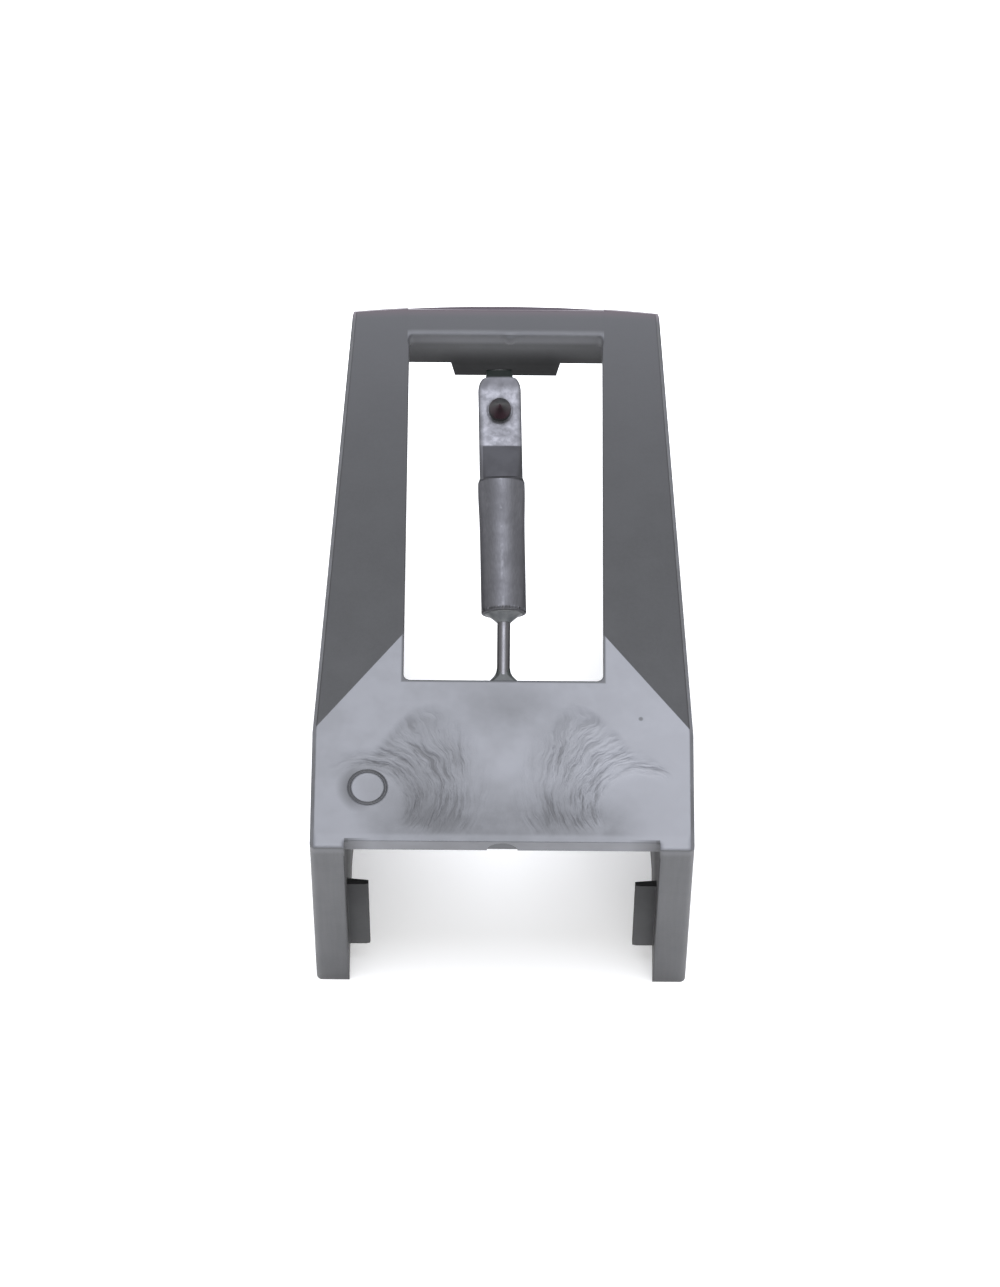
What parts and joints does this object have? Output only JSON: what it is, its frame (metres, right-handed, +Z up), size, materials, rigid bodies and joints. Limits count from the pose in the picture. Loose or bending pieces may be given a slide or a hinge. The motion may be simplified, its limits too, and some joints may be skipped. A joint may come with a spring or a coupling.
{
  "type": "turntable stylus",
  "caption": "Clip-on replacement stylus for a ceramic record-player cartridge: a grey moulded holder with a window, and a raised metal arm on a fine wire that carries a jewel tip.",
  "frame": {"origin": "middle of the bounding box in X and Y, on the surface that the rims of the side walls rest on", "axes": "X across, symmetric; Y along the holder, positive towards the tip end; Z up, positive towards the side that faces the record"},
  "size_m": [0.0104, 0.0178, 0.011],
  "materials": {
    "holder_plastic": "moulded grey plastic, polished on the plate and finely matt on the rails",
    "adhesive": "cured dark adhesive",
    "spring_steel": "drawn wire",
    "plug_resin": "dark grey resin, slightly shiny",
    "tube_aluminium": "drawn tube, pressed flat at one end",
    "jewel": "ground and polished dark red jewel"
  },
  "bodies": {
    "root": {"holder_frame": "holder_plastic", "anchor_bead": "adhesive"},
    "suspension": {"suspension_wire": "spring_steel"},
    "cantilever": {"tube_plug": "plug_resin", "cantilever_tube": "tube_aluminium", "stylus_tip": "jewel"}
  },
  "joints": [
    {"name": "side_flex", "type": "hinge", "parent": "root", "child": "suspension", "pos_m": [0, -0.003, 0.00825], "axis": [0, 0, 1], "range_deg": [-3, 3], "stiffness_Nm_per_rad": 0.0128, "deforming": ["suspension_wire"]},
    {"name": "up_flex", "type": "hinge", "parent": "suspension", "child": "cantilever", "pos_m": [0, -0.00232, 0.00844], "axis": [1, 0, 0], "range_deg": [-3, 3], "stiffness_Nm_per_rad": 0.0128, "deforming": ["suspension_wire"]}
  ]
}
